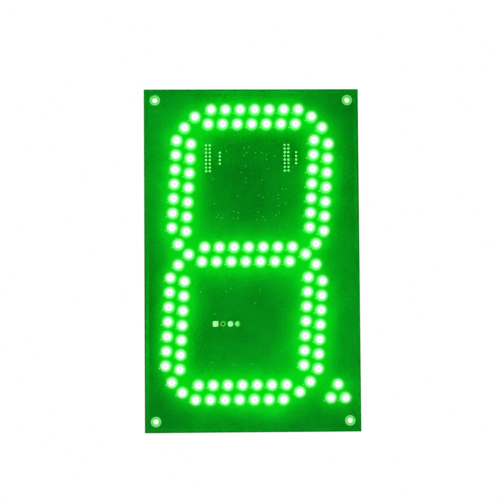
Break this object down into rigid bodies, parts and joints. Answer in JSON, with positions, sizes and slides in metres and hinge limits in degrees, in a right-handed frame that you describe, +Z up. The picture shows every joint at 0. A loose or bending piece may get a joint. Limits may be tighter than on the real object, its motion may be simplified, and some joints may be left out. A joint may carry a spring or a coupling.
{
  "type": "seven segment display",
  "caption": "Large slanted seven segment digit of round green LEDs on an upright circuit board, with corner mounting holes, and header and power connectors on the back.",
  "frame": {"origin": "centre of the four corner holes, on the board's back face", "axes": "+X to the right and +Z up as the digit is read, -Y out of the lit face, +Y out of the back"},
  "size_m": [0.148, 0.0213, 0.236],
  "materials": {
    "solder_mask": "satin green solder mask over glass-fibre laminate",
    "led_epoxy": "clear green moulded epoxy, lit",
    "lead_frame": "tin-plated stamped steel",
    "led_crystal": "light-emitting crystal",
    "gold": "gold flash",
    "tin_plate": "bright hot-dipped tin",
    "solder": "bright solder",
    "black_plastic": "moulded black plastic",
    "white_nylon": "natural moulded nylon",
    "chip_epoxy": "matt moulded epoxy",
    "resistor_film": "black glaze over white ceramic",
    "tan_ceramic": "tan fired ceramic",
    "can_aluminium": "drawn aluminium can"
  },
  "bodies": {
    "root": {"anode_solder_joints": "solder", "bond_wires": "gold", "buffer_body": "chip_epoxy", "buffer_leads": "tin_plate", "cathode_solder_joints": "solder", "ceramic_capacitor_bodies": "tan_ceramic", "ceramic_capacitor_terminals": "tin_plate", "circuit_board": "solder_mask", "decimal_point_leads": "lead_frame", "decimal_point_lenses": "led_epoxy", "driver_body": "chip_epoxy", "driver_leads": "tin_plate", "electrolytic_capacitor_bases": "black_plastic", "electrolytic_capacitor_cans": "can_aluminium", "electrolytic_capacitor_terminals": "tin_plate", "input_header_pins": "gold", "input_header_shell": "black_plastic", "input_strip_base": "black_plastic", "input_strip_pins": "gold", "led_dies": "led_crystal", "mounting_pads": "tin_plate", "output_header_pins": "gold", "output_header_shell": "black_plastic", "output_strip_base": "black_plastic", "output_strip_pins": "gold", "plated_vias": "tin_plate", "power_connector_pins": "tin_plate", "power_connector_shell": "white_nylon", "power_pads": "tin_plate", "power_solder_joints": "solder", "regulator_body": "chip_epoxy", "regulator_leads": "tin_plate", "resistor_bodies": "resistor_film", "resistor_terminals": "tin_plate", "segment_a_leads": "lead_frame", "segment_a_lenses": "led_epoxy", "segment_b_leads": "lead_frame", "segment_b_lenses": "led_epoxy", "segment_c_leads": "lead_frame", "segment_c_lenses": "led_epoxy", "segment_d_leads": "lead_frame", "segment_d_lenses": "led_epoxy", "segment_e_leads": "lead_frame", "segment_e_lenses": "led_epoxy", "segment_f_leads": "lead_frame", "segment_f_lenses": "led_epoxy", "segment_g_leads": "lead_frame", "segment_g_lenses": "led_epoxy", "signal_solder_joints": "solder", "surface_pads": "tin_plate"}
  },
  "joints": []
}
